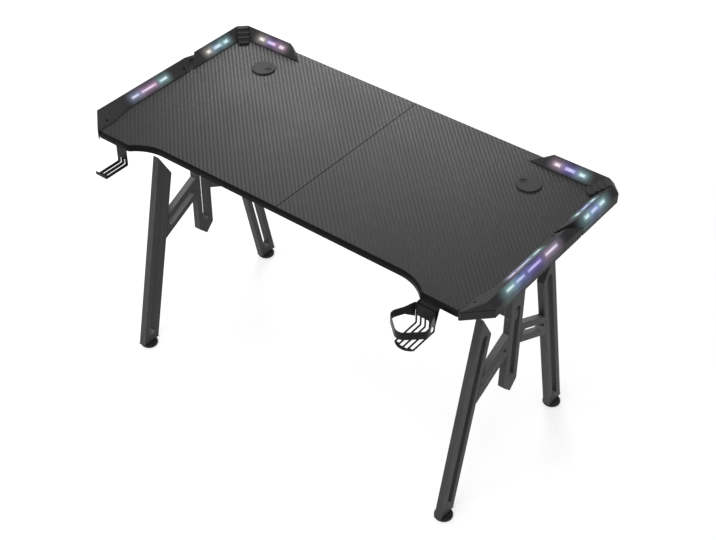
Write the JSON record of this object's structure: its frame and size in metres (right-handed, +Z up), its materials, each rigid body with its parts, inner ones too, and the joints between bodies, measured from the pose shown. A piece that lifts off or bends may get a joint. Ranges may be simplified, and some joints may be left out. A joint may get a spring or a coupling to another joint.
{
  "type": "gaming desk",
  "caption": "Desk with a split worktop, corner guards with light windows, braced leg frames, cable grommets, a headphone hook and a cup holder.",
  "frame": {"origin": "on the floor, under the middle of the desk's footprint with the cup holder counted in", "axes": "+X to the right and +Y to the back for a person who sits at the desk, +Z up"},
  "size_m": [1.2, 0.7011, 0.753],
  "materials": {
    "worktop_laminate": "dark grey laminate with fine diagonal stripes",
    "black_edge": "satin",
    "guard_plastic": "fine grain",
    "light_window": "milky, lit from behind",
    "light_strip": "white",
    "grommet_plastic": "satin",
    "frame_steel": "black powder coat",
    "foot_plastic": "satin",
    "fastener_steel": "dark plated",
    "accessory_steel": "black powder coat",
    "controller_plastic": "satin",
    "button_plastic": "smooth"
  },
  "bodies": {
    "desk": {"tabletop_left": "worktop_laminate", "tabletop_right": "worktop_laminate", "edge_band_left": "black_edge", "edge_band_right": "black_edge", "rear_left_guard": "guard_plastic", "rear_right_guard": "guard_plastic", "front_left_guard": "guard_plastic", "front_right_guard": "guard_plastic", "rear_left_corner_cap": "guard_plastic", "rear_right_corner_cap": "guard_plastic", "rear_left_light_windows": "light_window", "rear_right_light_windows": "light_window", "front_left_light_windows": "light_window", "front_right_light_windows": "light_window", "rear_left_light_strips": "light_strip", "rear_right_light_strips": "light_strip", "front_left_light_strip": "light_strip", "front_right_light_strip": "light_strip", "grommet_liner_left": "grommet_plastic", "grommet_liner_right": "grommet_plastic", "front_leg_left": "frame_steel", "front_leg_right": "frame_steel", "rear_leg_left": "frame_steel", "rear_leg_right": "frame_steel", "front_brace_left": "frame_steel", "front_brace_right": "frame_steel", "rear_brace_left": "frame_steel", "rear_brace_right": "frame_steel", "upright_left": "frame_steel", "upright_right": "frame_steel", "top_bar_left": "frame_steel", "top_bar_right": "frame_steel", "rear_rail": "frame_steel", "front_rail": "frame_steel", "cross_bar": "frame_steel", "seam_plates": "frame_steel", "leg_plugs": "foot_plastic", "seam_screws": "fastener_steel", "front_guard_screws": "fastener_steel", "rear_guard_screws": "fastener_steel", "cross_bar_bolts": "fastener_steel", "rail_bolts": "fastener_steel", "tabletop_screws": "fastener_steel", "accessory_screws": "fastener_steel", "headphone_hook": "accessory_steel", "cup_holder": "accessory_steel", "cup_holder_ring": "accessory_steel", "controller_case": "controller_plastic", "controller_lid": "controller_plastic", "power_socket": "controller_plastic"},
    "mode_button": {"mode_button": "button_plastic"},
    "grommet_cap_left": {"grommet_cap_left": "grommet_plastic"},
    "cable_plug_left": {"cable_plug_left": "grommet_plastic"},
    "front_foot_left": {"front_foot_left": "foot_plastic"},
    "rear_foot_left": {"rear_foot_left": "foot_plastic"},
    "grommet_cap_right": {"grommet_cap_right": "grommet_plastic"},
    "cable_plug_right": {"cable_plug_right": "grommet_plastic"},
    "front_foot_right": {"front_foot_right": "foot_plastic"},
    "rear_foot_right": {"rear_foot_right": "foot_plastic"}
  },
  "joints": [
    {"name": "grommet_cap_left_turn", "type": "hinge", "parent": "desk", "child": "grommet_cap_left", "pos_m": [-0.413, 0.22556, 0.731], "axis": [0, 0, 1], "continuous": true},
    {"name": "cable_plug_left_pull", "type": "slide", "parent": "grommet_cap_left", "child": "cable_plug_left", "axis": [0, 0, 1], "range_m": [0, 0.015]},
    {"name": "front_foot_left_level", "type": "slide", "parent": "desk", "child": "front_foot_left", "axis": [0, 0, -1], "range_m": [0, 0.01]},
    {"name": "rear_foot_left_level", "type": "slide", "parent": "desk", "child": "rear_foot_left", "axis": [0, 0, -1], "range_m": [0, 0.01]},
    {"name": "grommet_cap_right_turn", "type": "hinge", "parent": "desk", "child": "grommet_cap_right", "pos_m": [0.413, 0.22556, 0.731], "axis": [0, 0, 1], "continuous": true},
    {"name": "cable_plug_right_pull", "type": "slide", "parent": "grommet_cap_right", "child": "cable_plug_right", "axis": [0, 0, 1], "range_m": [0, 0.015]},
    {"name": "front_foot_right_level", "type": "slide", "parent": "desk", "child": "front_foot_right", "axis": [0, 0, -1], "range_m": [0, 0.01]},
    {"name": "rear_foot_right_level", "type": "slide", "parent": "desk", "child": "rear_foot_right", "axis": [0, 0, -1], "range_m": [0, 0.01]},
    {"name": "mode_button_press", "type": "slide", "parent": "desk", "child": "mode_button", "axis": [0, 1, 0], "range_m": [0, 0.0015], "stiffness_N_per_m": 400, "springref_m": -0.001}
  ]
}
